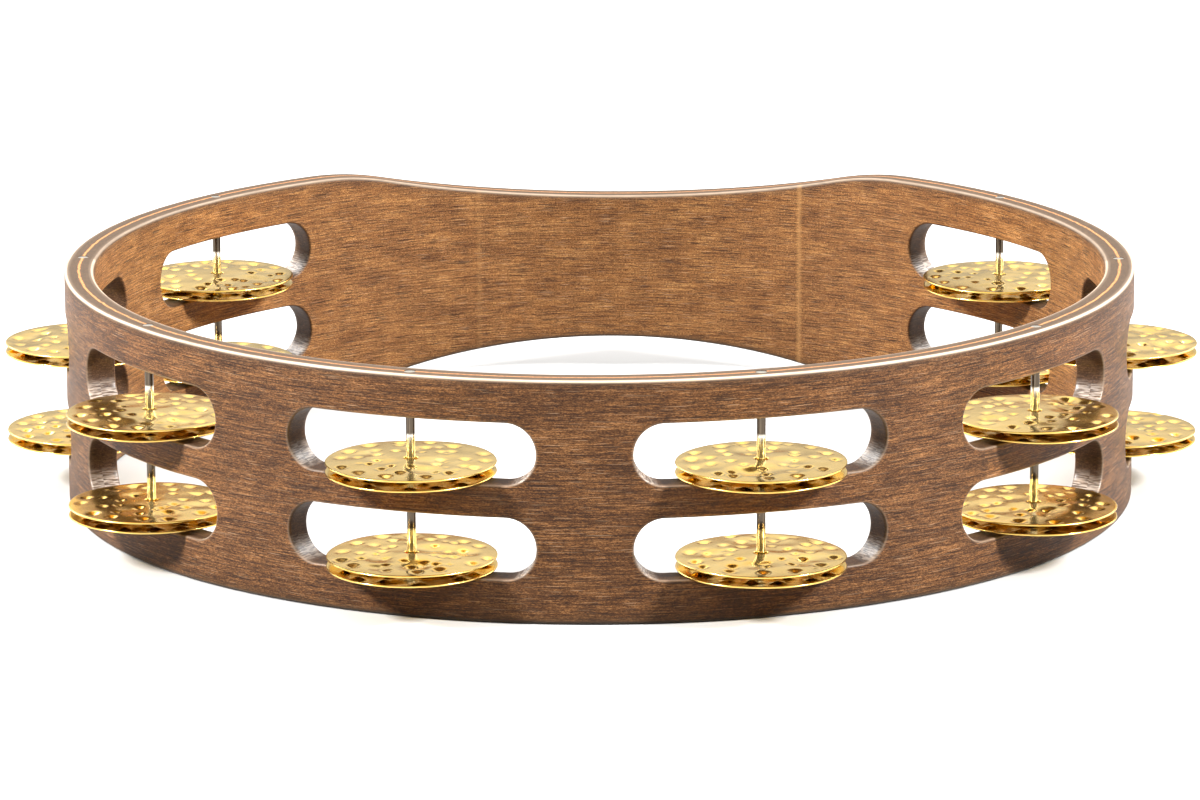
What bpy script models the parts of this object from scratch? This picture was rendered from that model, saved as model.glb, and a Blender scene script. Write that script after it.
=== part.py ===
"""Headless hand tambourine: a bent wood shell with a waisted grip, eight jingle pins and
thirty-two jingles, two on every pin in each of its two slots.

Metres, +Z up. The instrument lies flat with its lower rim on Z = 0, its grip at the back
(+Y) and the origin under the middle of its overall box.
"""
import math

import bmesh
import bpy
from mathutils import Matrix

# ---- driving dimensions -------------------------------------------------------------
SHELL_OUTER_RADIUS = 0.127          # a 10 inch shell
SHELL_WALL = 0.007
SHELL_HEIGHT = 0.055
ARRIS_RADIUS = 0.001                # rounding of the four long edges
ARRIS_STEPS = 2
SHELL_SEGMENTS = 96

WAIST_DEPTH = 0.0089                # how far each rim curves in at the middle of the grip
WAIST_HALF_ANGLE = math.radians(36.9)
WAIST_SHOULDER_RADIUS = 0.090       # rounding where the waist leaves the straight rim

COLUMN_STEP = math.radians(36.4)    # angle from one pin to the next
COLUMNS_PER_SIDE = 4                # pins on each side of the front
SLOT_LENGTH = 0.0592                # along the outer face
SLOT_HEIGHT = 0.014
SLOT_FLOORS = {"low": 0.0098, "high": 0.0312}
SLOT_SIDES = 28
SLOT_CUTTER_DEPTH = 0.030

PIN_RADIUS = 0.0010
PIN_HEAD_RADIUS = 0.0013
PIN_HEAD_HEIGHT = 0.0008
PIN_POINT_LENGTH = 0.0009           # tapered lower end
PIN_POINT_RADIUS = 0.0004
PIN_BOTTOM = 0.0030                 # height of the pin's lower end above the rim
PIN_CLEARANCE = 0.00025             # room all round the pin in its drilled hole
PIN_SIDES = 12

JINGLE_RADIUS = 0.019
JINGLE_HOLE_RADIUS = 0.00155
JINGLE_SHEET = 0.0004
JINGLE_DOME = 0.00065               # rise of the centre above the rim
JINGLE_PITCH = 0.0022               # from rim to rim in a pair at rest
JINGLE_SEGMENTS = 20

REST_GAP = 0.0003                   # kept between a piece and what it rests on
MERGE_DISTANCE = 1e-6

# ---- worked out from them -----------------------------------------------------------
SHELL_INNER_RADIUS = SHELL_OUTER_RADIUS - SHELL_WALL
PIN_CIRCLE_RADIUS = SHELL_OUTER_RADIUS - SHELL_WALL / 2
FRONT_EDGE = PIN_CIRCLE_RADIUS * math.cos(COLUMN_STEP / 2) + JINGLE_RADIUS
RING_AXIS_Y = (FRONT_EDGE - SHELL_OUTER_RADIUS) / 2     # centres the overall box on Y = 0

# ---- materials: colour, roughness, metallic -----------------------------------------
WALNUT_STAIN = ((0.205, 0.105, 0.055, 1.0), 0.45, 0.0)
BRASS = ((0.83, 0.58, 0.20, 1.0), 0.18, 1.0)
STEEL = ((0.72, 0.71, 0.69, 1.0), 0.15, 1.0)


def clear_scene():
    for old in list(bpy.data.objects):
        bpy.data.objects.remove(old, do_unlink=True)


def new_collection(name):
    collection = bpy.data.collections.new(name)
    bpy.context.scene.collection.children.link(collection)
    return collection


def new_material(name, look):
    colour, roughness, metallic = look
    material = bpy.data.materials.new(name)
    material.use_nodes = True
    shader = material.node_tree.nodes["Principled BSDF"]
    shader.inputs["Base Color"].default_value = colour
    shader.inputs["Roughness"].default_value = roughness
    shader.inputs["Metallic"].default_value = metallic
    material.diffuse_color = colour
    return material


def finish_mesh(mesh, material, sharp_angle=30):
    mesh.materials.append(material)
    mesh.shade_smooth()
    mesh.set_sharp_from_angle(angle=math.radians(sharp_angle))


def place(name, mesh, collection, matrix=None):
    piece = bpy.data.objects.new(name, mesh)
    collection.objects.link(piece)
    if matrix:
        piece.matrix_world = matrix
    return piece


def turned_mesh(name, profile, segments, closed):
    """(radius, height) points turned about Z; an open profile starts and ends on the axis."""
    count = len(profile)
    edges = [(i, (i + 1) % count) for i in range(count if closed else count - 1)]
    outline = bpy.data.meshes.new(name + "_outline")
    outline.from_pydata([(radius, 0.0, height) for radius, height in profile], edges, [])
    blank = place(name + "_blank", outline, bpy.context.scene.collection)
    screw = blank.modifiers.new("turn", "SCREW")
    screw.axis = "Z"
    screw.steps = segments
    screw.render_steps = segments
    screw.use_merge_vertices = True
    screw.merge_threshold = MERGE_DISTANCE
    evaluated = blank.evaluated_get(bpy.context.evaluated_depsgraph_get())
    mesh = bpy.data.meshes.new_from_object(evaluated)
    mesh.name = name
    bpy.data.objects.remove(blank, do_unlink=True)

    bm = bmesh.new()
    bm.from_mesh(mesh)
    bmesh.ops.remove_doubles(bm, verts=bm.verts, dist=MERGE_DISTANCE)
    bm.to_mesh(mesh)
    bm.free()
    return mesh


def copies_of(mesh, name, matrices):
    """One mesh that holds a copy of this mesh at each matrix."""
    bm = bmesh.new()
    for matrix in matrices:
        moved = mesh.copy()
        moved.transform(matrix)
        bm.from_mesh(moved)
        bpy.data.meshes.remove(moved)
    joined = bpy.data.meshes.new(name)
    bm.to_mesh(joined)
    bm.free()
    return joined


def column_angles():
    """Angles of the eight pins from the front, from the grip's left side to its right."""
    steps = range(-COLUMNS_PER_SIDE, COLUMNS_PER_SIDE)
    return [(step + 0.5) * COLUMN_STEP for step in steps]


def column_matrix(angle, height=0.0):
    """The frame at a pin: its -Y points straight out of the ring and its X along the wall."""
    return (Matrix.Translation((0.0, RING_AXIS_Y, height))
            @ Matrix.Rotation(angle, 4, "Z")
            @ Matrix.Translation((0.0, -PIN_CIRCLE_RADIUS, 0.0)))


# ---- wood shell ---------------------------------------------------------------------
def arris(radius, height, start):
    """Points of a rounded edge: a quarter circle about (radius, height), clockwise."""
    turns = [start - step * math.pi / 2 / ARRIS_STEPS for step in range(ARRIS_STEPS + 1)]
    return [(radius + ARRIS_RADIUS * math.cos(turn), height + ARRIS_RADIUS * math.sin(turn))
            for turn in turns]


def shell_profile():
    outer = SHELL_OUTER_RADIUS - ARRIS_RADIUS
    inner = SHELL_INNER_RADIUS + ARRIS_RADIUS
    top = SHELL_HEIGHT - ARRIS_RADIUS
    bottom = ARRIS_RADIUS
    return (arris(outer, top, math.pi / 2) + arris(outer, bottom, 0.0)
            + arris(inner, bottom, -math.pi / 2) + arris(inner, top, -math.pi))


def waist(angle_from_back):
    """Depth of the waist there: one long hollow arc that meets a shoulder arc at each end."""
    half = SHELL_OUTER_RADIUS * WAIST_HALF_ANGLE
    along = SHELL_OUTER_RADIUS * abs(angle_from_back)
    both_radii = (half ** 2 + WAIST_DEPTH ** 2) / (2 * WAIST_DEPTH)
    hollow_radius = both_radii - WAIST_SHOULDER_RADIUS
    if along >= half:
        return 0.0
    if along < half * hollow_radius / both_radii:
        return WAIST_DEPTH - hollow_radius + math.sqrt(hollow_radius ** 2 - along ** 2)
    return WAIST_SHOULDER_RADIUS - math.sqrt(WAIST_SHOULDER_RADIUS ** 2 - (half - along) ** 2)


def shell_blank():
    """The bent ring with both rims drawn in at the grip, before it is slotted and drilled."""
    mesh = turned_mesh("wood_shell", shell_profile(), SHELL_SEGMENTS, closed=True)
    for vertex in mesh.vertices:
        depth = waist(math.atan2(vertex.co.x, vertex.co.y))
        vertex.co.z += depth if vertex.co.z < SHELL_HEIGHT / 2 else -depth
    mesh.transform(Matrix.Translation((0.0, RING_AXIS_Y, 0.0)))
    return mesh


def slot_cutters():
    """Sixteen full-round slots: a cylinder pulled apart along the wall and bent to its curve,
    so that both ends of a slot are cut straight towards the ring's axis."""
    radius = SLOT_HEIGHT / 2 / math.cos(math.pi / SLOT_SIDES)
    bm = bmesh.new()
    bmesh.ops.create_cone(bm, cap_ends=True, segments=SLOT_SIDES, radius1=radius,
                          radius2=radius, depth=SLOT_CUTTER_DEPTH,
                          matrix=Matrix.Rotation(math.pi / 2, 4, "X")
                          @ Matrix.Rotation(math.pi / SLOT_SIDES, 4, "Z"))
    for vertex in bm.verts:
        vertex.co.x += math.copysign((SLOT_LENGTH - SLOT_HEIGHT) / 2, vertex.co.x)
        turn = vertex.co.x / SHELL_OUTER_RADIUS
        reach = PIN_CIRCLE_RADIUS - vertex.co.y
        vertex.co.x = reach * math.sin(turn)
        vertex.co.y = PIN_CIRCLE_RADIUS - reach * math.cos(turn)
    one_slot = bpy.data.meshes.new("one_slot")
    bm.to_mesh(one_slot)
    bm.free()
    return copies_of(one_slot, "slot_cutters",
                     [column_matrix(angle, floor + SLOT_HEIGHT / 2)
                      for angle in column_angles() for floor in SLOT_FLOORS.values()])


def pin_hole_cutters():
    """Eight blind holes, each with a wider mouth for the pin's head."""
    shank = PIN_RADIUS + PIN_CLEARANCE
    mouth = PIN_HEAD_RADIUS + PIN_CLEARANCE
    over = SHELL_HEIGHT + SHELL_WALL
    step = SHELL_HEIGHT - PIN_HEAD_HEIGHT - PIN_CLEARANCE
    floor = PIN_BOTTOM - REST_GAP
    profile = [(0.0, over), (mouth, over), (mouth, step), (shank, step), (shank, floor),
               (0.0, floor)]
    one_hole = turned_mesh("one_pin_hole", profile, PIN_SIDES, closed=False)
    return copies_of(one_hole, "pin_hole_cutters",
                     [column_matrix(angle) for angle in column_angles()])


def make_shell(parts, cutters, material):
    mesh = shell_blank()
    finish_mesh(mesh, material)
    shell = place("wood_shell", mesh, parts)
    for name, tool_mesh in (("slots", slot_cutters()), ("pin_holes", pin_hole_cutters())):
        tool = place(name + "_cutter", tool_mesh, cutters)
        tool.hide_render = True
        tool.display_type = "WIRE"
        cut = shell.modifiers.new(name, "BOOLEAN")
        cut.operation = "DIFFERENCE"
        cut.solver = "EXACT"
        cut.object = tool


# ---- jingle pins --------------------------------------------------------------------
def make_pins(parts, material):
    under_head = SHELL_HEIGHT - PIN_HEAD_HEIGHT
    profile = [(0.0, SHELL_HEIGHT), (PIN_HEAD_RADIUS, SHELL_HEIGHT),
               (PIN_HEAD_RADIUS, under_head), (PIN_RADIUS, under_head),
               (PIN_RADIUS, PIN_BOTTOM + PIN_POINT_LENGTH), (PIN_POINT_RADIUS, PIN_BOTTOM),
               (0.0, PIN_BOTTOM)]
    mesh = turned_mesh("jingle_pin", profile, PIN_SIDES, closed=False)
    finish_mesh(mesh, material)
    for number, angle in enumerate(column_angles(), start=1):
        place(f"jingle_pin_{number}", mesh, parts, column_matrix(angle))


# ---- jingles ------------------------------------------------------------------------
def jingle_mesh(material):
    """A thin domed disc, turned about its hole; its rim's underside is at height zero."""
    def dome(radius):
        return JINGLE_DOME * (1 - (radius / JINGLE_RADIUS) ** 2)

    radii = [JINGLE_HOLE_RADIUS, (JINGLE_HOLE_RADIUS + JINGLE_RADIUS) / 2, JINGLE_RADIUS]
    upper_face = [(radius, dome(radius) + JINGLE_SHEET) for radius in radii]
    under_face = [(radius, dome(radius)) for radius in reversed(radii)]
    mesh = turned_mesh("jingle", upper_face + under_face, JINGLE_SEGMENTS, closed=True)
    finish_mesh(mesh, material)
    return mesh


def make_jingles(parts, material):
    """In each slot the lower jingle is dished up towards the upper one, which is domed."""
    mesh = jingle_mesh(material)
    lower_rim = REST_GAP + JINGLE_DOME + JINGLE_SHEET
    upper_rim = lower_rim - JINGLE_SHEET + JINGLE_PITCH
    turned_over = Matrix.Rotation(math.pi, 4, "X")
    upright = Matrix.Rotation(0.0, 4, "X")
    for number, angle in enumerate(column_angles(), start=1):
        for slot, floor in SLOT_FLOORS.items():
            for layer, rim, attitude in (("lower", lower_rim, turned_over),
                                         ("upper", upper_rim, upright)):
                centre = column_matrix(angle, floor + rim).translation
                place(f"jingle_{number}_{slot}_{layer}", mesh, parts,
                      Matrix.Translation(centre) @ attitude)


def main():
    clear_scene()
    parts = new_collection("tambourine")
    cutters = new_collection("cutters")
    make_shell(parts, cutters, new_material("walnut_stained_wood", WALNUT_STAIN))
    make_pins(parts, new_material("polished_steel", STEEL))
    make_jingles(parts, new_material("hammered_brass", BRASS))


main()
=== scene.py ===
"""Looks of the headless hand tambourine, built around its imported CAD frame.

The shell, the pins and the jingles are rebuilt as fine meshes in the places of their CAD
nodes: a slotted, laminated wood ring with softened edges, turned steel pins, and jingles
whose hammer dents are real shape. Units are metres and +Z is up.
"""
import math

import bmesh
import bpy
import numpy as np
from mathutils import Matrix, Quaternion, Vector


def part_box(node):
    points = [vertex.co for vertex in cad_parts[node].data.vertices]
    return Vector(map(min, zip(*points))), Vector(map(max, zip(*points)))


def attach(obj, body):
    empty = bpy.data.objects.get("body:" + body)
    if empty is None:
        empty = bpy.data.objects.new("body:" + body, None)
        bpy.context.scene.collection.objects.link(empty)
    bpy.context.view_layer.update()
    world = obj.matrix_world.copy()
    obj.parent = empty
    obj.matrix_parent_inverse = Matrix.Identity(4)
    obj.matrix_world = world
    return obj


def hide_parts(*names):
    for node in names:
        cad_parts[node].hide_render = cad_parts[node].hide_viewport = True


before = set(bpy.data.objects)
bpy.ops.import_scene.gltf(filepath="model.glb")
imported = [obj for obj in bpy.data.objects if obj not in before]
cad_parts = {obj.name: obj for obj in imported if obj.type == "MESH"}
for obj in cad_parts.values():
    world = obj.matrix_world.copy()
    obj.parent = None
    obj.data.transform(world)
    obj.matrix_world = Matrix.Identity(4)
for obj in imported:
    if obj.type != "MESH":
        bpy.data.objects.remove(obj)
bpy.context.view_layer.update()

# ---- sizes read from the frame ------------------------------------------------------
SHELL_LOW, SHELL_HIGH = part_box("wood_shell")
OUTER = (SHELL_HIGH.x - SHELL_LOW.x) / 2
HEIGHT = SHELL_HIGH.z - SHELL_LOW.z
AXIS_Y = (SHELL_HIGH.y + SHELL_LOW.y) / 2
COLUMNS = range(1, 9)               # one pin each, from one side of the grip to the other
MIDDLE_COLUMN = (COLUMNS[0] + COLUMNS[-1]) / 2      # the front, between two columns
SLOTS = ("low", "high")
LAYERS = ("lower", "upper")

# ---- sizes repeated from the part ---------------------------------------------------
WALL = 0.007
INNER = OUTER - WALL
MID_RADIUS = OUTER - WALL / 2
COLUMN_STEP = math.radians(36.4)
SLOT_LENGTH = 0.0592                # along the outer face
SLOT_HEIGHT = 0.014
SLOT_FLOORS = {"low": 0.0098, "high": 0.0312}
WAIST_DEPTH = 0.0089
WAIST_HALF_ANGLE = math.radians(36.9)
WAIST_SHOULDER_RADIUS = 0.090
PIN_RADIUS = 0.0010
PIN_HEAD_RADIUS = 0.0013
PIN_HEAD_HEIGHT = 0.0008
PIN_BOTTOM = 0.0030                 # height of the pin's lower end
JINGLE_SHEET = 0.0004
JINGLE_DOME = 0.00065
JINGLE_HOLE_RADIUS = 0.00155

# ---- finish of the wood edges, their wear and painted highlights --------------------
ARRIS = 0.0008                      # rounding of the rims
SLOT_EASE = 0.00045                 # rounding of the slots' edges
WEAR_AND_HIGHLIGHT_AT = (0.45, 0.16)              # most worn line of a rim, also its painted highlight: arris radii from face and rim
EDGE_AT = 0.586                     # most worn line of a slot's edge, also its painted highlight, as a share of SLOT_EASE
WEAR_AND_HIGHLIGHT_WIDTH = 0.00032
INNER_WEAR_AND_HIGHLIGHT = 1.00                   # wear and painted highlight of the inner arris against the outer one
GRIP_WEAR_AND_HIGHLIGHT = 0.45                    # the same on the grip's half of the shell
LOWER_WEAR_AND_HIGHLIGHT = 0.25                   # wear and painted highlight of the lower rim against the upper, better lit one
SLOT_WEAR_AND_HIGHLIGHT = 0.22                    # wear and painted highlight of the slots' edges against the rims
RIM_REACH = 1.5                     # arris radii from the rim to where its marks end
SLOT_REACH = 4 * ARRIS              # the slots' marks end this far from the rims
SLOT_END = (0.1, 0.25)              # slot heights past its straight side: start and rise
REFLECTION_TOP = 0.4                       # share of a slot's height where the painted reflection on its ends stops
REFLECTION_FADE = 1 / 3                    # and over which it fades

MERGE = 2e-6                        # points nearer than this become one
SHARP_ANGLE = 35                    # degrees between faces
JINGLE_SHARP_ANGLE = 50


def new_mesh(name, points, faces):
    """A mesh from point and face arrays, with double points merged."""
    mesh = bpy.data.meshes.new(name)
    mesh.from_pydata(np.asarray(points).tolist(), [], [list(map(int, f)) for f in faces])
    bm = bmesh.new()
    bm.from_mesh(mesh)
    bmesh.ops.remove_doubles(bm, verts=bm.verts, dist=MERGE)
    bmesh.ops.recalc_face_normals(bm, faces=bm.faces)
    bm.to_mesh(mesh)
    bm.free()
    return mesh


def smooth(mesh, angle=SHARP_ANGLE):
    mesh.shade_smooth()
    mesh.set_sharp_from_angle(angle=math.radians(angle))


def add_piece(name, mesh, body, node, material, matrix=None):
    """A piece that stands for its CAD node, rides on its body and takes its finish."""
    piece = bpy.data.objects.new(name, mesh)
    bpy.context.scene.collection.objects.link(piece)
    if matrix is not None:
        piece.matrix_world = matrix
    piece.data.materials.append(material)
    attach(piece, body)
    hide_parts(node)
    return piece


def store(mesh, name, values):
    """Stores a 0 to 1 value for each point, which the materials read by its name."""
    mesh.attributes.new(name, "FLOAT", "POINT").data.foreach_set("value", values)


# ---- wood shell ---------------------------------------------------------------------
ARC_STEPS = 32                      # along one round end of a slot
STRAIGHT_STEPS = 24                 # along its straight side
WEB_STEPS = 9                       # from a slot's edge to the border of its cell
EASE_STEPS = 3
BORE_STEPS = 6                      # through the wall, inside a slot
ARRIS_STEPS = 4
RIM_STEPS = 8                       # across the flat of a rim
GRIP_STEPS = 96                     # along the grip
PIN_FIT = 0.00006                   # hairline round a pin in its drilled hole
PIN_SIDES = 40
STRAIGHT_HALF = (SLOT_LENGTH - SLOT_HEIGHT) / 2
CELL_HALF = OUTER * COLUMN_STEP / 2         # half the width of one column's stretch of wall
SHELL_MIDDLE = (SLOT_FLOORS["low"] + SLOT_HEIGHT + SLOT_FLOORS["high"]) / 2


def waist(from_back):
    """Depth of the waist at these angles from the back, as in the part."""
    half = OUTER * WAIST_HALF_ANGLE
    along = OUTER * np.abs(from_back)
    both = (half ** 2 + WAIST_DEPTH ** 2) / (2 * WAIST_DEPTH)
    hollow = both - WAIST_SHOULDER_RADIUS
    deep = WAIST_DEPTH - hollow + np.sqrt(hollow ** 2 - np.minimum(along, half) ** 2)
    rest = np.clip(half - along, 0, WAIST_SHOULDER_RADIUS)
    shoulder = WAIST_SHOULDER_RADIUS - np.sqrt(WAIST_SHOULDER_RADIUS ** 2 - rest ** 2)
    return np.where(along < half * hollow / both, deep, np.where(along < half, shoulder, 0.0))


def bend(along, height, radius, centre_angle):
    """Wall points: distance along a column's cell on the outer face, height and radius."""
    return ring_points(centre_angle + along / OUTER, height, radius)


def ring_points(turn, height, radius):
    """3-D points from angles measured from the front, with both rims drawn in at the grip."""
    turn, height, radius = np.broadcast_arrays(turn, height, radius)
    from_back = math.pi - np.abs(turn)
    reach = np.clip((HEIGHT / 2 - height) / (HEIGHT / 2 - ARRIS), -1, 1)
    z = height + waist(from_back) * reach
    return np.stack([radius * np.sin(turn), AXIS_Y - radius * np.cos(turn), z], axis=-1)


def slot_outline():
    """Points round a slot from the start of its upper straight side, with their normals."""
    run = np.linspace(-STRAIGHT_HALF, STRAIGHT_HALF, STRAIGHT_STEPS, endpoint=False)
    swing = np.linspace(math.pi / 2, -math.pi / 2, ARC_STEPS, endpoint=False)
    ones = np.ones_like(run)
    normal = np.concatenate([
        np.stack([0 * ones, ones], 1), np.stack([np.cos(swing), np.sin(swing)], 1),
        np.stack([0 * ones, -ones], 1), np.stack([-np.cos(swing), -np.sin(swing)], 1)])
    middle = np.concatenate([run, np.full(ARC_STEPS, STRAIGHT_HALF), -run,
                             np.full(ARC_STEPS, -STRAIGHT_HALF)])
    points = normal * SLOT_HEIGHT / 2
    points[:, 0] += middle
    return points, normal


def cell_outline(low, high):
    """Points round a slot's cell, one for each point of the slot's outline."""
    quarter = ARC_STEPS // 4
    run = np.linspace(-STRAIGHT_HALF, STRAIGHT_HALF, STRAIGHT_STEPS, endpoint=False)
    out = np.linspace(STRAIGHT_HALF, CELL_HALF, quarter, endpoint=False)
    down = np.linspace(high, low, 2 * quarter, endpoint=False)
    back = np.linspace(CELL_HALF, STRAIGHT_HALF, quarter, endpoint=False)
    along = np.concatenate([run, out, np.full(2 * quarter, CELL_HALF), back])
    height = np.concatenate([np.full(STRAIGHT_STEPS + quarter, high), down,
                             np.full(quarter, low)])
    half = np.stack([along, height], 1)
    other = np.stack([-along, low + high - height], 1)
    return np.concatenate([half, other])


def loop_faces(rings, count, start):
    """Quads that join each ring of points to the next one."""
    ring, step = np.meshgrid(np.arange(rings - 1), np.arange(count), indexing="ij")
    here = start + ring * count
    after = (step + 1) % count
    return np.stack([here + step, here + after, here + count + after, here + count + step],
                    axis=-1).reshape(-1, 4)


def grid_faces(rows, columns, start):
    row, column = np.meshgrid(np.arange(rows - 1), np.arange(columns - 1), indexing="ij")
    here = start + row * columns + column
    return np.stack([here, here + 1, here + columns + 1, here + columns],
                    axis=-1).reshape(-1, 4)


def slot_cell(angle, slot):
    """One slot with the wall round it, outside face to inside face."""
    low, high = (ARRIS, SHELL_MIDDLE) if slot == "low" else (SHELL_MIDDLE, HEIGHT - ARRIS)
    edge, normal = slot_outline()
    edge[:, 1] += SLOT_FLOORS[slot] + SLOT_HEIGHT / 2
    border = cell_outline(low, high)
    eased = edge + normal * SLOT_EASE
    web = [border + (eased - border) * share
           for share in np.sin(np.linspace(0, math.pi / 2, WEB_STEPS))]
    turns = np.linspace(0, math.pi / 2, EASE_STEPS + 1)[1:]
    ease = [(edge + normal * SLOT_EASE * (1 - math.sin(t)), SLOT_EASE * (1 - math.cos(t)))
            for t in turns]
    rings = [(points, OUTER) for points in web]
    rings += [(points, OUTER - depth) for points, depth in ease]
    rings += [(edge, radius) for radius in
              np.linspace(OUTER - SLOT_EASE, INNER + SLOT_EASE, BORE_STEPS + 1)[1:-1]]
    rings += [(points, INNER + depth) for points, depth in reversed(ease)]
    rings += [(points, INNER) for points in reversed(web)]
    points = [bend(ring[:, 0], ring[:, 1], radius, angle) for ring, radius in rings]
    return np.concatenate(points), len(rings), len(edge)


def rim_profile(upper):
    """(radius, height) points across a rim, from the outer wall over to the inner one."""
    turns = np.linspace(0, math.pi / 2, ARRIS_STEPS + 1)
    flat = np.linspace(OUTER - ARRIS, INNER + ARRIS, RIM_STEPS + 1)[1:-1]
    radius = np.concatenate([OUTER - ARRIS + ARRIS * np.cos(turns), flat,
                             INNER + ARRIS - ARRIS * np.cos(turns[::-1])])
    rise = np.concatenate([ARRIS * np.sin(turns), np.full(len(flat), ARRIS),
                           ARRIS * np.sin(turns[::-1])])
    height = HEIGHT - ARRIS + rise if upper else ARRIS - rise
    return radius, height


def shell_mesh():
    points, faces, total = [], [], 0

    def take(new_points, new_faces):
        nonlocal total
        points.append(new_points.reshape(-1, 3))
        faces.append(new_faces)
        total += len(points[-1])

    angles = [(column - MIDDLE_COLUMN) * COLUMN_STEP for column in COLUMNS]
    side = cell_outline(ARRIS, SHELL_MIDDLE)[:, 0]
    along = np.unique(np.round(side, 9))
    for angle in angles:
        for slot in SLOTS:
            cell, rings, count = slot_cell(angle, slot)
            take(cell, loop_faces(rings, count, total))
        for upper in (True, False):
            radius, height = rim_profile(upper)
            strip = bend(along[None, :], height[:, None], radius[:, None], angle)
            take(strip, grid_faces(len(radius), len(along), total))

    edge_angle = len(COLUMNS) / 2 * COLUMN_STEP
    turns = np.linspace(edge_angle, 2 * math.pi - edge_angle, GRIP_STEPS + 1)
    turns = np.where(turns > math.pi, turns - 2 * math.pi, turns)
    quarter = ARC_STEPS // 4
    heights = np.concatenate([np.linspace(HEIGHT - ARRIS, SHELL_MIDDLE, 2 * quarter + 1),
                              np.linspace(SHELL_MIDDLE, ARRIS, 2 * quarter + 1)[1:]])
    for wall in (OUTER, INNER):
        take(ring_points(turns[None, :], heights[:, None], wall),
             grid_faces(len(heights), len(turns), total))
    for upper in (True, False):
        radius, height = rim_profile(upper)
        take(ring_points(turns[None, :], height[:, None], radius[:, None]),
             grid_faces(len(radius), len(turns), total))
    return new_mesh("shell", np.concatenate(points), np.concatenate(faces))


def turned(profile, sides):
    """Points and faces of a (radius, height) profile turned about Z, from pole to pole."""
    turns = np.linspace(0, 2 * math.pi, sides, endpoint=False)
    radius, height = np.array(profile).T[:, :, None]
    points = np.stack([radius * np.cos(turns), radius * np.sin(turns),
                       np.broadcast_to(height, (len(profile), sides))], axis=-1)
    return points.reshape(-1, 3), loop_faces(len(profile), sides, 0)


def pin_centre(column):
    low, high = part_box(f"jingle_pin_{column}")
    return Vector(((low.x + high.x) / 2, (low.y + high.y) / 2, 0.0))


def pin_hole_cutter():
    """The eight stepped drillings of the pins, as separate closed bodies in one object."""
    shank, mouth = PIN_RADIUS + PIN_FIT, PIN_HEAD_RADIUS + PIN_FIT
    over = HEIGHT + WALL
    step = HEIGHT - PIN_HEAD_HEIGHT - PIN_FIT
    floor = PIN_BOTTOM - PIN_FIT
    profile = [(0.0, over), (mouth, over), (mouth, step), (shank, step), (shank, floor),
               (0.0, floor)]
    points, faces = turned(profile, PIN_SIDES)
    places = [np.array(pin_centre(column)) for column in COLUMNS]
    mesh = new_mesh("pin_holes", np.concatenate([points + place for place in places]),
                    np.concatenate([faces + i * len(points) for i in range(len(places))]))
    cutter = bpy.data.objects.new("pin_holes", mesh)
    bpy.context.scene.collection.objects.link(cutter)
    return cutter


def slot_place(turn, height):
    """How far wall points are from the nearest slot's outline, and past its straight side."""
    column = np.clip(np.round(turn / COLUMN_STEP + MIDDLE_COLUMN), COLUMNS[0], COLUMNS[-1])
    along = np.abs(turn - (column - MIDDLE_COLUMN) * COLUMN_STEP) * OUTER
    beyond = np.maximum(along - STRAIGHT_HALF, 0)
    away = np.minimum.reduce([np.hypot(beyond, height - floor - SLOT_HEIGHT / 2)
                              for floor in SLOT_FLOORS.values()]) - SLOT_HEIGHT / 2
    return away, beyond


def mark_edges(mesh):
    """Stores where the rims and the slots' insides are, the painted reflection low on the
    slots' ends, and the edges' wear with its painted highlight.
    """
    points = np.empty(len(mesh.vertices) * 3)
    mesh.vertices.foreach_get("co", points)
    x, y, z = points.reshape(-1, 3).T
    radius = np.hypot(x, y - AXIS_Y)
    turn = np.arctan2(x, AXIS_Y - y)
    depth = waist(math.pi - np.abs(turn))
    to_face = np.minimum(OUTER - radius, radius - INNER)
    to_rim = np.minimum(HEIGHT - depth - z, z - depth)
    to_slot, past = slot_place(turn, z)
    off_rim = to_rim > SLOT_REACH
    outside = radius > MID_RADIUS

    # the rims' wear and painted highlight, strongest on the outer arris of the upper rim
    corner = np.hypot(to_face - ARRIS * WEAR_AND_HIGHLIGHT_AT[0], to_rim - ARRIS * WEAR_AND_HIGHLIGHT_AT[1])
    inner_wear_and_highlight = np.where(y < AXIS_Y, INNER_WEAR_AND_HIGHLIGHT, GRIP_WEAR_AND_HIGHLIGHT)
    rim_wear_and_highlight = np.exp(-(corner / WEAR_AND_HIGHLIGHT_WIDTH) ** 2) * np.where(outside, 1.0, inner_wear_and_highlight)
    rim_wear_and_highlight = rim_wear_and_highlight * np.where(z > HEIGHT / 2, 1.0, LOWER_WEAR_AND_HIGHLIGHT)
    off_edge = (to_face + np.abs(to_slot) - SLOT_EASE * EDGE_AT) / (WEAR_AND_HIGHLIGHT_WIDTH / 2)
    slot_wear_and_highlight = np.exp(-off_edge ** 2) * off_rim * outside * SLOT_WEAR_AND_HIGHLIGHT

    bore = np.clip(1 - to_slot / SLOT_EASE, 0, 1) * off_rim
    start, rise = SLOT_END
    slot_end = bore * np.clip((past / SLOT_HEIGHT - start) / rise, 0, 1)
    floors = np.where(z < SHELL_MIDDLE, SLOT_FLOORS["low"], SLOT_FLOORS["high"])
    share = (z - floors) / SLOT_HEIGHT
    # painted reflection: a light colour on the lower part of the slots' ends
    store(mesh, "painted_reflection", slot_end * np.clip((REFLECTION_TOP - share) / REFLECTION_FADE, 0, 1))
    store(mesh, "rim", np.clip(RIM_REACH - to_rim / ARRIS, 0, 1))
    store(mesh, "bore", bore)
    store(mesh, "slot_end", slot_end)
    store(mesh, "wear_and_highlight", np.maximum(rim_wear_and_highlight, slot_wear_and_highlight))


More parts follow.
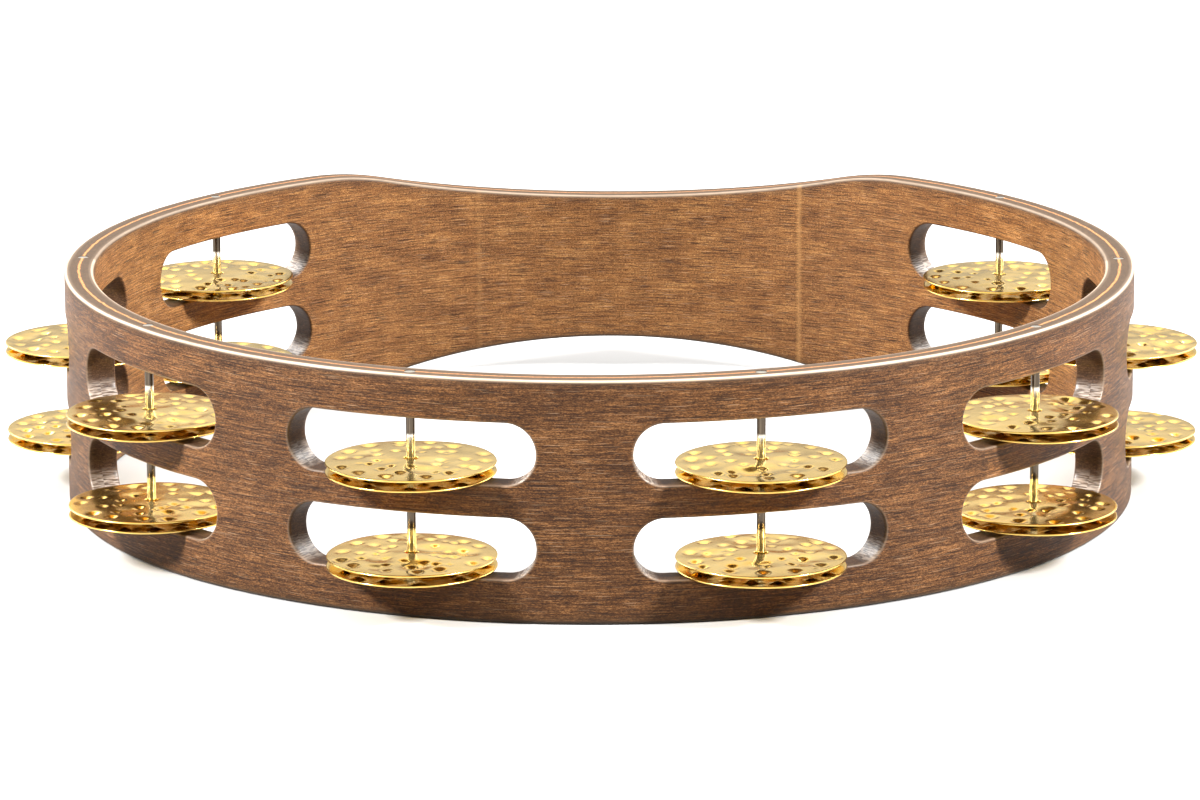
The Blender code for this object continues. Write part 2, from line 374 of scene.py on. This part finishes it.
def make_shell(material):
    mesh = shell_mesh()
    shell = add_piece("shell", mesh, "shell", "wood_shell", material)
    cutter = pin_hole_cutter()
    drill = shell.modifiers.new("pin_holes", "BOOLEAN")
    drill.operation = "DIFFERENCE"
    drill.solver = "EXACT"
    drill.object = cutter
    drilled = bpy.data.meshes.new_from_object(
        shell.evaluated_get(bpy.context.evaluated_depsgraph_get()))
    shell.modifiers.remove(drill)
    shell.data = drilled
    bpy.data.objects.remove(cutter, do_unlink=True)
    smooth(drilled)
    mark_edges(drilled)


# ---- pins ---------------------------------------------------------------------------
HEAD_CROWN = 0.00012                # the head's edge is this much lower than its middle
CROWN_STEPS = 4
PIN_TIP = ((1.0, 0.0010), (0.9, 0.0006), (0.35, 0.0))       # share of the radius, height


def make_pins(material):
    under = HEIGHT - PIN_HEAD_HEIGHT
    crown = [(PIN_HEAD_RADIUS * math.sin(t), HEIGHT - HEAD_CROWN * (1 - math.cos(t)))
             for t in np.linspace(0, math.pi / 2, CROWN_STEPS + 1)]
    tip = [(PIN_RADIUS * share, PIN_BOTTOM + rise) for share, rise in PIN_TIP]
    profile = crown + [(PIN_HEAD_RADIUS, under), (PIN_RADIUS, under), *tip, (0.0, PIN_BOTTOM)]
    points, faces = turned(profile, PIN_SIDES)
    for column in COLUMNS:
        mesh = new_mesh(f"pin_{column}", points, faces)
        smooth(mesh)
        add_piece(f"pin_{column}", mesh, "shell", f"jingle_pin_{column}",
                  material, Matrix.Translation(pin_centre(column)))


# ---- jingles ------------------------------------------------------------------------
JINGLE_SIDES = 176
JINGLE_RINGS = 48                   # from the hole to the rim, on each side
EDGE_RINGS = 4                      # round a jingle's rim and round its hole
RING_DENTS = (                      # radius share, dents, width, depth, looseness
    (0.845, 14, 0.00186, 0.00060, 0.025),
    (0.620, 11, 0.00166, 0.00049, 0.040),
    (0.390, 9, 0.00146, 0.00042, 0.030),
)
TURN_LOOSENESS = 0.12               # of a ring's dents, in steps from one to the next
WIDTH_SPREAD = (0.85, 1.15)
DEPTH_SPREAD = (0.65, 1.15)
LOOSE_DENTS = (                     # dents, then ranges of area share, width and depth
    (9, (0.08, 0.80), (0.0009, 0.0015), (0.00010, 0.00026)),
    (17, (0.05, 0.62), (0.0034, 0.0058), (0.00006, 0.00042)),
)
DENT_EDGE = 1.9                     # 1 gives a dent a sharp lip and 2 a soft one
BROAD_EDGE = 2.0                    # the same for a broad dent
BROAD = 0.003                       # width from which a dent is broad
UNDULATION = 0.00003                # height of the waves round the rim
WAVES = range(2, 6)                 # how many of them there are in a turn
RIM_BRIGHT = 0.0006                 # width of the rim round the hollow side that the painted shade leaves out


def dents_of(rng, radius):
    """(x, y, width, depth) of each hammer dent of one jingle."""
    dents = []

    def strike(turn, reach, width, depth):
        dents.append((reach * math.cos(turn), reach * math.sin(turn), width, depth))

    for share, count, width, depth, loose in RING_DENTS:
        start = rng.uniform(0, 2 * math.pi)
        for index in range(count):
            strike(start + (index + rng.normal(0, TURN_LOOSENESS)) * 2 * math.pi / count,
                   radius * (share + rng.normal(0, loose)),
                   width * rng.uniform(*WIDTH_SPREAD), depth * rng.uniform(*DEPTH_SPREAD))
    for count, areas, widths, depths in LOOSE_DENTS:
        for _ in range(count):
            strike(rng.uniform(0, 2 * math.pi), radius * math.sqrt(rng.uniform(*areas)),
                   rng.uniform(*widths), rng.uniform(*depths))
    return dents


def sheet_height(x, y, radius, dents, phases):
    """Height of the middle of the sheet: its dome, hammered from the domed side."""
    reach = np.hypot(x, y)
    turn = np.arctan2(y, x)
    height = JINGLE_SHEET / 2 + JINGLE_DOME * (1 - (reach / radius) ** 2)
    for dent_x, dent_y, width, depth in dents:
        near = np.clip(1 - ((x - dent_x) ** 2 + (y - dent_y) ** 2) / width ** 2, 0, 1)
        height = height - depth * near ** (DENT_EDGE if width < BROAD else BROAD_EDGE)
    for waves, phase in zip(WAVES, phases):
        height = height + UNDULATION * (reach / radius) ** 2 * np.sin(waves * turn + phase)
    return height


def jingle_mesh(name, seed, radius):
    """A hammered jingle with rounded rim and hole, its dents real in both faces."""
    rng = np.random.default_rng(seed)
    dents = dents_of(rng, radius)
    phases = rng.uniform(0, 2 * math.pi, len(WAVES))
    half = JINGLE_SHEET / 2
    reach = np.linspace(JINGLE_HOLE_RADIUS + half, radius - half, JINGLE_RINGS)
    swing = np.linspace(0, math.pi, EDGE_RINGS + 2)[1:-1]
    centre = np.concatenate([reach, np.full(EDGE_RINGS, reach[-1]), reach[::-1],
                             np.full(EDGE_RINGS, reach[0])])
    offset = np.concatenate([np.full(JINGLE_RINGS, half), half * np.cos(swing),
                             np.full(JINGLE_RINGS, -half), -half * np.cos(swing)])
    push = np.concatenate([np.zeros(JINGLE_RINGS), half * np.sin(swing),
                           np.zeros(JINGLE_RINGS), -half * np.sin(swing)])
    turns = np.linspace(0, 2 * math.pi, JINGLE_SIDES, endpoint=False)
    x, y = centre[:, None] * np.cos(turns), centre[:, None] * np.sin(turns)
    z = sheet_height(x, y, radius, dents, phases) + offset[:, None]
    x, y = x + push[:, None] * np.cos(turns), y + push[:, None] * np.sin(turns)
    points = np.stack([x, y, z], axis=-1).reshape(-1, 3)
    rings = len(centre)
    closing = loop_faces(rings + 1, JINGLE_SIDES, 0) % (rings * JINGLE_SIDES)
    mesh = new_mesh(name, points, closing)
    # the hollow side short of its rim, which takes the painted shade of the gap between paired
    # jingles
    gap_shade = np.clip((radius - centre) / RIM_BRIGHT - 0.5, 0, 1) * (offset <= -half)
    store(mesh, "hollow", np.repeat(gap_shade, JINGLE_SIDES))
    return mesh


def make_jingles(material):
    seed = 0
    for column in COLUMNS:
        for slot in SLOTS:
            for layer in LAYERS:
                seed += 1
                node = f"jingle_{column}_{slot}_{layer}"
                low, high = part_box(node)
                radius = (high.x - low.x) / 2
                mesh = jingle_mesh(node + "_sheet", seed, radius)
                smooth(mesh, JINGLE_SHARP_ANGLE)
                middle = (low + high) / 2
                rim = low.z if layer == "upper" else high.z
                attitude = Matrix.Rotation(math.pi if layer == "lower" else 0.0, 4, "X")
                add_piece(f"hammered_{column}_{slot}_{layer}", mesh, node, node,
                          material,
                          Matrix.Translation((middle.x, middle.y, rim)) @ attitude)


# ---- materials ----------------------------------------------------------------------
MM = 1000.0
OBJECT_PLACE = 3                    # the Object output of a Texture Coordinate node
FACTOR = 2                          # the Factor output of an Attribute node


class Tree:
    """The nodes of a material or of the world, with short ways to add and join them."""

    def __init__(self, owner):
        owner.use_nodes = True
        self.owner = owner
        self.nodes = owner.node_tree.nodes
        self.links = owner.node_tree.links

    def put(self, socket, value):
        if isinstance(value, bpy.types.NodeSocket):
            self.links.new(value, socket)
        else:
            socket.default_value = value

    def add(self, kind, inputs=(), out=0, **settings):
        made = self.nodes.new("ShaderNode" + kind)
        for key, value in settings.items():
            setattr(made, key, value)
        for key, value in dict(inputs).items():
            self.put(made.inputs[key], value)
        return made.outputs[out]

    def math(self, operation, *values):
        return self.add("Math", dict(enumerate(values)), operation=operation)

    def plus(self, first, second):
        return self.math("ADD", first, second)

    def minus(self, first, second):
        return self.math("SUBTRACT", first, second)

    def times(self, first, second):
        return self.math("MULTIPLY", first, second)

    def most(self, first, second):
        return self.math("MAXIMUM", first, second)

    def length(self, x, y):
        return self.math("SQRT", self.plus(self.times(x, x), self.times(y, y)))

    def split(self, vector):
        made = self.nodes.new("ShaderNodeSeparateXYZ")
        self.put(made.inputs[0], vector)
        return made.outputs

    def join(self, x, y, z):
        return self.add("CombineXYZ", {0: x, 1: y, 2: z})

    def stored(self, name):
        """A value that mark_edges or jingle_mesh stored on the mesh."""
        return self.add("Attribute", attribute_name=name, out=FACTOR)

    def noise(self, place, detail=2.0, roughness=0.5, distortion=0.0):
        return self.add("TexNoise", {"Vector": place, "Scale": 1.0, "Detail": detail,
                                     "Roughness": roughness, "Distortion": distortion})

    def span(self, value, low, high, to_low=0.0, to_high=1.0, ease="LINEAR"):
        """The value moved from the range low to high into to_low to to_high, and kept there."""
        return self.add("MapRange", {0: value, 1: low, 2: high, 3: to_low, 4: to_high},
                        interpolation_type=ease)

    def mix(self, share, first, second, blend="MIX"):
        made = self.nodes.new("ShaderNodeMix")
        made.data_type = "RGBA"
        made.blend_type = blend
        self.put(made.inputs[0], share)
        self.put(made.inputs[6], first)
        self.put(made.inputs[7], second)
        return made.outputs[2]

    def ramp(self, value, stops):
        made = self.nodes.new("ShaderNodeValToRGB")
        self.put(made.inputs[0], value)
        elements = made.color_ramp.elements
        while len(elements) < len(stops):
            elements.new(0.5)
        for element, (position, colour) in zip(elements, stops):
            element.position = position
            element.color = colour
        return made.outputs[0]

    def bump(self, height, strength, distance):
        return self.add("Bump", {"Strength": strength, "Distance": distance, "Height": height})

    def shade(self, **values):
        """Sets the shader's sockets, Base_Color for Base Color, and returns the owner."""
        shader = self.nodes["Principled BSDF"]
        for key, value in values.items():
            self.put(shader.inputs[key.replace("_", " ")], value)
        return self.owner


def srgb(red, green, blue):
    """A shader colour from its 0 to 255 display values."""
    def linear(value):
        value /= 255
        return value / 12.92 if value <= 0.04045 else ((value + 0.055) / 1.055) ** 2.4
    return (linear(red), linear(green), linear(blue), 1.0)


# ---- wood ---------------------------------------------------------------------------
SEAM_ANGLE = math.radians(156.3)    # scarf joint of the inner ply, right of the grip
FAINT_SEAM_ANGLE = math.radians(-163.5)
SEAM_SHARES = ((SEAM_ANGLE, 0.24), (FAINT_SEAM_ANGLE, 0.08))
SEAM_EDGE = (0.15, 0.95)            # mm from a seam's middle, where its line starts to fade
SEAM_DEPTH = (0.6, 1.2)             # mm into the inner ply, the same
PLY_LINE = 3.5                      # mm from the inner face to the middle of the thin ply
PLY_EDGE = (0.10, 0.42)             # mm from its middle, where its line starts to fade
PLY_WANDER = 0.7                    # mm
OUTER_PLY = 3.9                     # mm from the inner face to the outer ply
OUTER_PLY_SHIFT = 83.0              # mm up the grain, so that the two plies differ

# Sizes of the grain in mm: along the shell, up it and into it.
WANDER_GRAIN = (60.0, 20.0, 40.0)
FIBRE = (1.3, 0.20, 0.45)
GRIT = (0.42, 0.16, 0.4)
STREAK = (11.0, 0.40, 1.6)
MOTTLE = (12.0, 5.0, 9.0)
LONG_PORE = (8.0, 0.20, 0.3)
SHORT_PORE = (3.0, 0.17, 0.3)
SCRATCH = (5.5, 0.13, 0.3)
REFLECTION_GRAIN = (2.0, 0.22, 2.6)
PLY_GRAIN = (3.0, 3.0, 3.0)
WANDER = 1.4                        # mm that the grain lines stray

# Shares of one layer in another, and the ranges of noise that a layer shows.
TONE_SHARES = (0.24, 0.42, 0.21, 0.13)      # of fibre, grit, streak and mottle
TONE_RANGE = (0.40, 0.60)
LONG_PORE_RANGE = (0.555, 0.62)
SHORT_PORE_RANGE = (0.62, 0.69)
PORE_SHARE = 0.85
SCRATCH_RANGE = (0.735, 0.79)
SCRATCH_SHARE = 0.45
END_SHARES = (0.4, 0.6)             # of streak and grit, in the end grain's tone
END_RANGE = (0.35, 0.65)
REFLECTION_GRAIN_RANGE = (0.40, 0.62, 0.05, 0.85)
PLY_BREAKS = (0.30, 0.62, 0.30, 0.95)       # the grit breaks up the ply's line
WEAR_AND_HIGHLIGHT_BREAKS = (0.25, 0.6, 0.6, 1.0)         # and the streaks break up the edges' wear and painted highlight
WORN_AND_HIGHLIGHT_SHARE = 0.75
RELIEF_SHARES = (0.6, 0.3, 0.5)     # of fibre, grit and pores, the last one downward
RELIEF_DEPTH = 0.0002
RELIEF_STRENGTH = (0.30, 0.06)      # on the faces and on cut wood
FACE_ROUGHNESS = (0.46, 0.58)
CUT_ROUGHNESS = 0.08                # added on cut wood
VARNISH = {"slot_end": 0.1, "wear_and_highlight": 0.5, "painted_reflection": 1.0, "rim": 0.05}
VARNISH_ROUGHNESS = 0.27
STAIN_GLOSS = 0.22

OUTSIDE_STAIN = ((0.00, srgb(27, 15, 7)), (0.35, srgb(72, 44, 23)),
                 (0.62, srgb(106, 69, 39)), (1.00, srgb(160, 114, 72)))
INSIDE_STAIN = ((0.00, srgb(43, 23, 10)), (0.35, srgb(98, 61, 31)),
                (0.62, srgb(132, 88, 48)), (1.00, srgb(188, 140, 86)))
END_STAIN = ((0.0, srgb(34, 19, 10)), (0.5, srgb(60, 38, 22)), (1.0, srgb(92, 65, 42)))
RIM_STAIN = ((0.3, srgb(56, 42, 29)), (0.7, srgb(91, 71, 53)))
PORE_COLOUR = srgb(38, 22, 12)
SCRATCH_COLOUR = srgb(206, 168, 132)
REFLECTION_COLOUR = srgb(210, 194, 178)
PLY_COLOUR = srgb(206, 140, 84)
WORN_AND_HIGHLIGHT_COLOUR = srgb(244, 218, 190)
SEAM_COLOUR = srgb(206, 156, 98)

# Painted light and shade by the angle from the front in radians: from, to, there and there.
CORNER_SHEEN = (0.20, 0.60, 1.0, 1.14)       # painted sheen: lighter off the front's middle
SIDE_SHADE = (0.80, 1.30, 1.0, 0.78)         # and painted shade: darker again on the sides
INSIDE_LIGHT_AND_SHADE = (2.62, 3.00, 1.20, 0.88)        # painted light on most of the inside, painted shade at the grip


def wood_material():
    """Stained, sealed wood: fine grain round the shell, pores, mottling, ply edges, and painted
    light and shade.
    """
    t = Tree(bpy.data.materials.new("stained_wood"))
    x, y, z = t.split(t.add("TexCoord", out=OBJECT_PLACE))
    back_y = t.minus(AXIS_Y, y)
    turn = t.math("ARCTAN2", x, back_y)
    from_inner = t.times(t.minus(t.length(x, back_y), INNER), MM)
    unrolled = t.math("WRAP", t.minus(turn, SEAM_ANGLE), 0.0, -2 * math.pi)
    along = t.times(unrolled, MID_RADIUS * MM)
    outer_ply = t.math("GREATER_THAN", from_inner, OUTER_PLY)
    inner_side = t.minus(1.0, outer_ply)
    up = t.plus(t.times(z, MM), t.times(outer_ply, OUTER_PLY_SHIFT))

    def grain(size, **options):
        length, height, depth = size
        place = t.join(t.math("DIVIDE", along, length), t.math("DIVIDE", up, height),
                       t.math("DIVIDE", from_inner, depth))
        return t.noise(place, **options)

    up = t.plus(up, t.times(t.minus(grain(WANDER_GRAIN), 0.5), WANDER))
    fibre = grain(FIBRE, detail=4.0, roughness=0.72)
    grit = grain(GRIT, detail=2.0, roughness=0.8)
    streak = grain(STREAK, detail=3.0, roughness=0.6, distortion=0.15)
    mottle = grain(MOTTLE, detail=3.0, roughness=0.6)
    pore = t.most(t.span(grain(LONG_PORE, detail=2.0), *LONG_PORE_RANGE),
                  t.span(grain(SHORT_PORE, detail=1.0), *SHORT_PORE_RANGE))
    scratch = t.span(grain(SCRATCH, detail=0.0), *SCRATCH_RANGE)

    tone = 0.0
    for layer, share in zip((fibre, grit, streak, mottle), TONE_SHARES):
        tone = t.plus(tone, t.times(layer, share))
    tone = t.span(tone, *TONE_RANGE)
    # painted light and shade by the angle round the shell
    from_front = t.math("ABSOLUTE", turn)
    outside_light_and_shade = t.times(t.span(from_front, *CORNER_SHEEN), t.span(from_front, *SIDE_SHADE))
    outside = t.mix(1.0, t.ramp(tone, OUTSIDE_STAIN), outside_light_and_shade, "MULTIPLY")
    inside = t.mix(1.0, t.ramp(tone, INSIDE_STAIN), t.span(from_front, *INSIDE_LIGHT_AND_SHADE), "MULTIPLY")
    face = t.mix(inner_side, outside, inside)
    face = t.mix(t.times(pore, PORE_SHARE), face, PORE_COLOUR)
    face = t.mix(t.times(scratch, SCRATCH_SHARE), face, SCRATCH_COLOUR)

    rim = t.stored("rim")
    cut = t.most(t.stored("bore"), rim)
    streaks, grits = END_SHARES
    end_tone = t.span(t.plus(t.times(streak, streaks), t.times(grit, grits)), *END_RANGE)
    # painted reflection: a light colour low on the slots' ends, broken up by grain
    reflection_patch = t.times(t.stored("painted_reflection"), t.span(grain(REFLECTION_GRAIN, detail=2.0), *REFLECTION_GRAIN_RANGE))
    end_grain = t.mix(reflection_patch, t.ramp(end_tone, END_STAIN), REFLECTION_COLOUR)
    end_grain = t.mix(rim, end_grain, t.ramp(fibre, RIM_STAIN))
    colour = t.mix(cut, face, end_grain)

    uneven = t.times(t.minus(grain(PLY_GRAIN, detail=2.0), 0.5), PLY_WANDER)
    off_ply = t.math("ABSOLUTE", t.minus(t.plus(from_inner, uneven), PLY_LINE))
    ply = t.times(t.span(off_ply, *PLY_EDGE, 1.0, 0.0), t.span(rim, 0.6, 1.0))
    ply = t.times(ply, t.span(grit, *PLY_BREAKS))
    colour = t.mix(ply, colour, PLY_COLOUR)

    # edges: partly a lighter colour where the stain wears through, partly a painted highlight
    worn_and_highlight = t.times(t.times(t.stored("wear_and_highlight"), t.span(streak, *WEAR_AND_HIGHLIGHT_BREAKS)), WORN_AND_HIGHLIGHT_SHARE)
    colour = t.mix(worn_and_highlight, colour, WORN_AND_HIGHLIGHT_COLOUR)

    skin = t.span(from_inner, *SEAM_DEPTH, 1.0, 0.0)
    for angle, share in SEAM_SHARES:
        away = t.math("ABSOLUTE", t.minus(turn, angle))
        line = t.span(t.times(away, INNER * MM), *SEAM_EDGE, 1.0, 0.0)
        colour = t.mix(t.times(t.times(line, skin), share), colour, SEAM_COLOUR)

    fibres, grits, pores = RELIEF_SHARES
    relief = t.minus(t.plus(t.times(fibre, fibres), t.times(grit, grits)),
                     t.times(pore, pores))
    bump = t.bump(relief, t.span(cut, 0.0, 1.0, *RELIEF_STRENGTH), RELIEF_DEPTH)
    rough = t.plus(t.span(fibre, 0.3, 0.7, *FACE_ROUGHNESS), t.times(cut, CUT_ROUGHNESS))
    varnish = 0.0
    for name, share in VARNISH.items():
        varnish = t.most(varnish, t.times(t.stored(name), share))
    return t.shade(Base_Color=colour, Roughness=rough, Normal=bump, Coat_Weight=varnish,
                   Coat_Roughness=VARNISH_ROUGHNESS, Specular_IOR_Level=STAIN_GLOSS)


# ---- brass and steel ----------------------------------------------------------------
BRASS = ((0.0, (0.87, 0.58, 0.13, 1.0)), (0.6, (0.93, 0.64, 0.18, 1.0)),
         (1.0, (0.96, 0.69, 0.23, 1.0)))
GAP_SHADE_COLOUR = (0.76, 0.50, 0.01, 1.0)           # painted shade of the gap between paired jingles, on their hollow sides
GAP_SHADE_SHARE = 0.95
CLOUD_SCALE = 260.0                 # of the brass's uneven tone, per metre
LATHE_RINGS = 9.0                   # polishing marks per mm of a jingle's radius
LATHE_RUNOUT = 1.2                  # how much they change in a radian
BRASS_ROUGHNESS = (0.17, 0.22)
LATHE_ROUGHNESS = 0.05              # added in the polishing marks
HOLLOW_POLISH = 0.04               # taken off on the hollow side
LATHE_RELIEF = (0.08, 0.00003)      # strength and depth
# painted dark reflection of the surroundings, on the pins away from the head and the slots' low
# parts
DARK_REFLECTION_STEEL = ((0.3, (0.05, 0.038, 0.028, 1.0)), (0.7, (0.14, 0.11, 0.08, 1.0)))
BRIGHT_STEEL = ((0.3, (0.80, 0.74, 0.62, 1.0)), (0.7, (0.94, 0.90, 0.80, 1.0)))
DRAWN_SCALE = (4000.0, 4000.0, 90.0)        # of the wire's drawing lines, per metre
DARK_REFLECTION_FROM = 9.3                 # mm above a slot's floor where the pin's painted dark reflection starts
DARK_REFLECTION_FADE = 0.6                   # mm
STEEL_ROUGHNESS = (0.08, 0.18)
DRAWN_RELIEF = (0.12, 0.00002)      # strength and depth


def brass_material():
    """Polished brass with faint polishing marks, and painted shade on the jingles' hollow
    sides.
    """
    t = Tree(bpy.data.materials.new("hammered_brass"))
    place = t.add("TexCoord", out=OBJECT_PLACE)
    x, y, _ = t.split(place)
    lathe = t.noise(t.join(t.times(t.length(x, y), LATHE_RINGS * MM),
                           t.times(t.math("ARCTAN2", y, x), LATHE_RUNOUT), 0.0),
                    detail=3.0, roughness=0.6)
    cloud = t.noise(t.add("VectorMath", {0: place, 3: CLOUD_SCALE}, operation="SCALE"),
                    detail=3.0)
    hollow = t.stored("hollow")
    colour = t.ramp(t.span(cloud, 0.3, 0.7), BRASS)
    # painted shade of the gap between paired jingles: a darker amber on the hollow sides
    colour = t.mix(t.times(hollow, GAP_SHADE_SHARE), colour, GAP_SHADE_COLOUR)
    rough = t.plus(t.span(cloud, 0.3, 0.7, *BRASS_ROUGHNESS),
                   t.span(lathe, 0.4, 0.8, 0.0, LATHE_ROUGHNESS))
    rough = t.minus(rough, t.times(hollow, HOLLOW_POLISH))
    return t.shade(Base_Color=colour, Roughness=rough, Metallic=1.0,
                   Normal=t.bump(lathe, *LATHE_RELIEF))


def steel_material():
    """Steel wire with drawing lines, painted with a dark reflection except on its head and low
    in each slot.
    """
    t = Tree(bpy.data.materials.new("pin_steel"))
    place = t.add("TexCoord", out=OBJECT_PLACE)
    drawn = t.noise(t.add("VectorMath", {0: place, 1: DRAWN_SCALE}, operation="MULTIPLY"),
                    detail=3.0)
    z = t.split(place)[2]
    # plain steel on the head and low in each slot; elsewhere the painted dark reflection
    plain_steel = t.span(z, HEIGHT - PIN_HEAD_HEIGHT, HEIGHT - PIN_HEAD_HEIGHT / 2)
    for floor in SLOT_FLOORS.values():
        above = t.minus(t.times(z, MM), floor * MM)
        low = t.span(above, DARK_REFLECTION_FROM, DARK_REFLECTION_FROM + DARK_REFLECTION_FADE, 1.0, 0.0)
        plain_steel = t.most(t.times(low, t.span(above, -0.1, 0.0)), plain_steel)
    colour = t.mix(plain_steel, t.ramp(drawn, DARK_REFLECTION_STEEL), t.ramp(drawn, BRIGHT_STEEL))
    return t.shade(Base_Color=colour, Roughness=t.span(drawn, 0.3, 0.7, *STEEL_ROUGHNESS),
                   Metallic=1.0, Normal=t.bump(drawn, *DRAWN_RELIEF))


# ---- studio -------------------------------------------------------------------------
CAMERA_TURN = math.radians(1.55)
CAMERA_PITCH = math.radians(13.39)
CAMERA_ROLL = math.radians(-0.26)
CAMERA_DISTANCE = 1.4555
CAMERA_LENS = 182.4
CAMERA_AIM_HEIGHT = 0.02057
CAMERA_REACH = 50                   # clips nothing of the floor
LAMPS = (                           # name, place, size, power
    ("left", (-1.20, -0.62, 0.95), (0.26, 0.26), 56.0),
    ("right", (1.20, -0.62, 0.95), (0.26, 0.26), 56.0),
    ("back_left", (-0.95, 0.95, 0.75), (0.70, 0.70), 10.0),
    ("back_right", (0.95, 0.95, 0.75), (0.70, 0.70), 10.0))
LAMP_AIM = (0.0, 0.0, 0.02)
FLOOR_RADIUS = 12
FLOOR_HEIGHT = -0.0002              # just under the part, so that no two faces coincide
PAPER = (0.56, 0.56, 0.56, 1.0)

# Strength of the tent against the sight line's height or depth: from, to, there and there.
TENT_WALLS = (0.05, 0.45, 0.42, 1.15)
TENT_FRONT = (-0.6, 0.5, 0.12, 1.0)
TENT_CEILING = (0.50, 0.80, 0.0, 1.1)
TENT_COLOUR = (1.0, 0.98, 0.95, 1.0)


def make_camera(scene):
    camera = bpy.data.objects.new("camera", bpy.data.cameras.new("camera"))
    scene.collection.objects.link(camera)
    camera.data.lens = CAMERA_LENS
    camera.data.clip_end = CAMERA_REACH
    aim = Vector((0.0, AXIS_Y, CAMERA_AIM_HEIGHT))
    sight = Vector((math.sin(CAMERA_TURN) * math.cos(CAMERA_PITCH),
                    -math.cos(CAMERA_TURN) * math.cos(CAMERA_PITCH), math.sin(CAMERA_PITCH)))
    camera.location = aim + sight * CAMERA_DISTANCE
    level = (-sight).to_track_quat("-Z", "Y")
    camera.rotation_euler = (level @ Quaternion((0, 0, 1), CAMERA_ROLL)).to_euler()
    scene.camera = camera


def make_floor():
    """White paper, seen by the camera and by the brass, that throws no light on the wood."""
    bpy.ops.mesh.primitive_circle_add(vertices=96, radius=FLOOR_RADIUS, fill_type="NGON",
                                      location=(0, 0, FLOOR_HEIGHT))
    floor = bpy.context.object
    floor.name = "floor"
    paper = Tree(bpy.data.materials.new("paper")).shade(Base_Color=PAPER, Roughness=0.9)
    floor.data.materials.append(paper)
    floor.visible_diffuse = False


def make_lamps(scene):
    for name, place, size, power in LAMPS:
        data = bpy.data.lights.new(name, "AREA")
        data.shape = "RECTANGLE"
        data.size, data.size_y = size
        data.energy = power
        lamp = bpy.data.objects.new(name, data)
        scene.collection.objects.link(lamp)
        lamp.location = place
        toward = Vector(LAMP_AIM) - Vector(place)
        lamp.rotation_euler = toward.to_track_quat("-Z", "Y").to_euler()
        lamp.visible_camera = False


def make_tent(scene):
    """A white light tent: brighter overhead than at the horizon, darker in front."""
    scene.world = bpy.data.worlds.new("studio")
    t = Tree(scene.world)
    _, y, z = t.split(t.add("TexCoord"))
    walls, front, ceiling = (
        t.span(axis, *limits, ease="SMOOTHSTEP")
        for axis, limits in ((z, TENT_WALLS), (y, TENT_FRONT), (z, TENT_CEILING)))
    background = t.nodes["Background"]
    t.put(background.inputs["Color"], TENT_COLOUR)
    t.put(background.inputs["Strength"], t.plus(t.times(walls, front), ceiling))


make_shell(wood_material())
make_pins(steel_material())
make_jingles(brass_material())

bpy.context.scene.view_settings.view_transform = "Standard"
make_camera(bpy.context.scene)
make_floor()
make_tent(bpy.context.scene)
make_lamps(bpy.context.scene)
